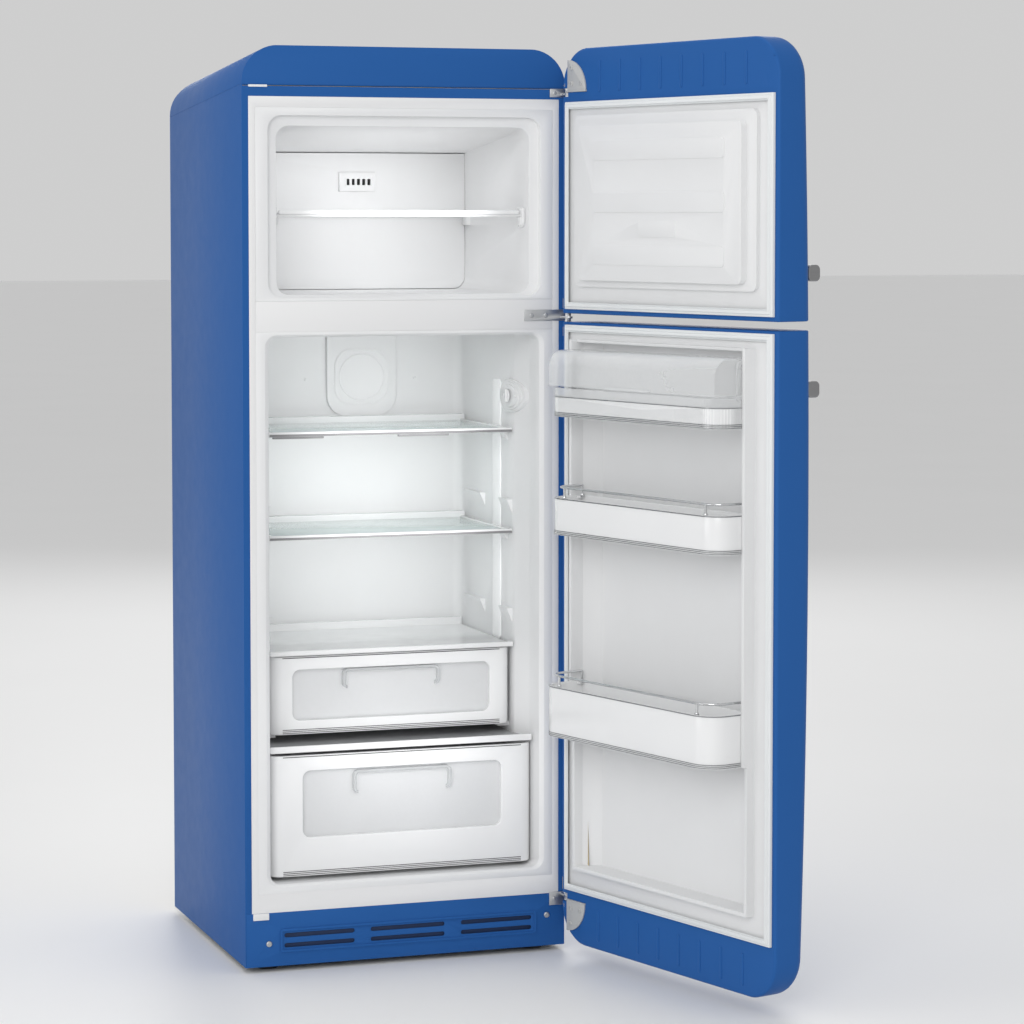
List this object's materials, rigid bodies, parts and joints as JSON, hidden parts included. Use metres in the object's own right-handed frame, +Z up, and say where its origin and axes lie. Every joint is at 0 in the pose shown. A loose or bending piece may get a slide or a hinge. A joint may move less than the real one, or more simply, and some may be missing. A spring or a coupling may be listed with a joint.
{
  "type": "top freezer refrigerator",
  "caption": "Free-standing top freezer refrigerator with a rounded painted cabinet, two side-hinged doors, shelves, drawers and door bins",
  "frame": {"origin": "on the floor, at the middle of the cabinet's footprint", "axes": "+Z up, the doors face -Y, +X to the right when facing the doors"},
  "size_m": [0.8694, 1.1744, 1.638],
  "materials": {
    "body_paint": "gloss",
    "white_liner": "satin",
    "white_frame": "satin",
    "white_gloss": "gloss",
    "clear_plastic": "clear moulded plastic",
    "shelf_glass": "clear toughened glass",
    "shelf_trim": "polished",
    "gasket": "soft matt",
    "handle_metal": "polished",
    "hinge_metal": "satin",
    "galvanised": "spangled zinc",
    "foam": "rough foam",
    "fin_metal": "bare",
    "black_plastic": "moulded",
    "fan_plastic": "moulded",
    "black_enamel": "baked enamel",
    "black_rubber": "matt"
  },
  "bodies": {
    "cabinet": {"cabinet_shell": "body_paint", "top_cover": "body_paint", "front_frame": "white_frame", "back_panel": "galvanised", "base_tray": "galvanised", "foam_insulation": "foam", "freezer_liner": "white_liner", "fridge_liner": "white_liner", "mullion_cover": "white_liner", "evaporator_cover": "white_liner", "evaporator": "fin_metal", "fan_motor": "black_plastic", "duct_cover": "white_liner", "control_housing": "white_liner", "light_column": "clear_plastic", "kick_plate": "body_paint", "cabinet_screws": "hinge_metal", "top_hinge_bracket": "hinge_metal", "middle_hinge_bracket": "hinge_metal", "bottom_hinge_bracket": "hinge_metal", "hinge_hole_caps": "white_liner", "compressor": "black_enamel", "compressor_mounts": "black_rubber", "drip_tray": "white_gloss", "terminal_box": "black_plastic", "condenser_tube": "black_enamel", "condenser_wires": "black_enamel"},
    "freezer_door": {"freezer_door_panel": "body_paint", "freezer_door_foam": "foam", "freezer_door_liner": "white_liner", "freezer_door_gasket": "gasket", "freezer_door_handle": "handle_metal", "freezer_door_hinge_plates": "hinge_metal"},
    "fridge_door": {"fridge_door_panel": "body_paint", "fridge_door_foam": "foam", "fridge_door_liner": "white_liner", "fridge_door_gasket": "gasket", "fridge_door_handle": "handle_metal", "fridge_door_hinge_plates": "hinge_metal"},
    "dairy_lid": {"dairy_lid": "clear_plastic"},
    "dairy_box": {"dairy_box": "clear_plastic"},
    "middle_bin": {"middle_bin": "white_gloss"},
    "bottle_bin": {"bottle_bin": "white_gloss"},
    "upper_shelf": {"upper_shelf_glass": "shelf_glass", "upper_shelf_trim": "shelf_trim"},
    "lower_shelf": {"lower_shelf_glass": "shelf_glass", "lower_shelf_trim": "shelf_trim"},
    "crisper_shelf": {"crisper_shelf": "white_gloss"},
    "drawer_cover": {"drawer_cover": "clear_plastic"},
    "freezer_shelf": {"freezer_shelf": "white_gloss"},
    "upper_drawer": {"upper_drawer": "white_gloss", "upper_drawer_handle": "clear_plastic"},
    "lower_drawer": {"lower_drawer": "white_gloss", "lower_drawer_handle": "clear_plastic"},
    "control_knob": {"control_knob": "white_gloss"},
    "fan": {"fan_blade": "fan_plastic"},
    "left_foot": {"left_foot": "black_plastic"},
    "right_foot": {"right_foot": "black_plastic"},
    "left_roller": {"left_roller": "black_plastic"},
    "right_roller": {"right_roller": "black_plastic"}
  },
  "joints": [
    {"name": "freezer_door_hinge", "type": "hinge", "parent": "cabinet", "child": "freezer_door", "pos_m": [0.3, -0.297, 1.57], "axis": [0, 0, 1], "range_deg": [-106, 8]},
    {"name": "fridge_door_hinge", "type": "hinge", "parent": "cabinet", "child": "fridge_door", "pos_m": [0.3, -0.297, 1.143], "axis": [0, 0, 1], "range_deg": [-106, 8]},
    {"name": "upper_drawer_slide", "type": "slide", "parent": "cabinet", "child": "upper_drawer", "axis": [0, -1, 0], "range_m": [0, 0.18]},
    {"name": "lower_drawer_slide", "type": "slide", "parent": "cabinet", "child": "lower_drawer", "axis": [0, -1, 0], "range_m": [0, 0.26]},
    {"name": "upper_shelf_slide", "type": "slide", "parent": "cabinet", "child": "upper_shelf", "axis": [0, -1, 0], "range_m": [0, 0.25]},
    {"name": "lower_shelf_slide", "type": "slide", "parent": "cabinet", "child": "lower_shelf", "axis": [0, -1, 0], "range_m": [0, 0.25]},
    {"name": "crisper_shelf_slide", "type": "slide", "parent": "cabinet", "child": "crisper_shelf", "axis": [0, -1, 0], "range_m": [0, 0.2]},
    {"name": "drawer_cover_slide", "type": "slide", "parent": "cabinet", "child": "drawer_cover", "axis": [0, -1, 0], "range_m": [0, 0.2]},
    {"name": "freezer_shelf_slide", "type": "slide", "parent": "cabinet", "child": "freezer_shelf", "axis": [0, -1, 0], "range_m": [0, 0.25]},
    {"name": "dairy_box_lift", "type": "slide", "parent": "fridge_door", "child": "dairy_box", "axis": [0, 0, 1], "range_m": [0, 0.003]},
    {"name": "dairy_lid_hinge", "type": "hinge", "parent": "dairy_box", "child": "dairy_lid", "pos_m": [0.34616, -0.59585, 1.089], "axis": [-0.2756, 0.9613, 0], "range_deg": [0, 50]},
    {"name": "middle_bin_lift", "type": "slide", "parent": "fridge_door", "child": "middle_bin", "axis": [0, 0, 1], "range_m": [0, 0.04]},
    {"name": "bottle_bin_lift", "type": "slide", "parent": "fridge_door", "child": "bottle_bin", "axis": [0, 0, 1], "range_m": [0, 0.04]},
    {"name": "control_knob_turn", "type": "hinge", "parent": "cabinet", "child": "control_knob", "pos_m": [0.225, -0.173, 1.011], "axis": [-1, 0, 0], "range_deg": [-135, 135]},
    {"name": "fan_spin", "type": "hinge", "parent": "cabinet", "child": "fan", "pos_m": [0.023, 0.125, 1.394], "axis": [0, 1, 0], "continuous": true},
    {"name": "left_foot_turn", "type": "hinge", "parent": "cabinet", "child": "left_foot", "pos_m": [-0.25, -0.233, 0.02], "axis": [0, 0, 1], "continuous": true},
    {"name": "right_foot_turn", "type": "hinge", "parent": "cabinet", "child": "right_foot", "pos_m": [0.25, -0.233, 0.02], "axis": [0, 0, 1], "continuous": true},
    {"name": "left_roller_spin", "type": "hinge", "parent": "cabinet", "child": "left_roller", "pos_m": [-0.258, 0.237, 0.015], "axis": [1, 0, 0], "continuous": true},
    {"name": "right_roller_spin", "type": "hinge", "parent": "cabinet", "child": "right_roller", "pos_m": [0.258, 0.237, 0.015], "axis": [1, 0, 0], "continuous": true}
  ]
}
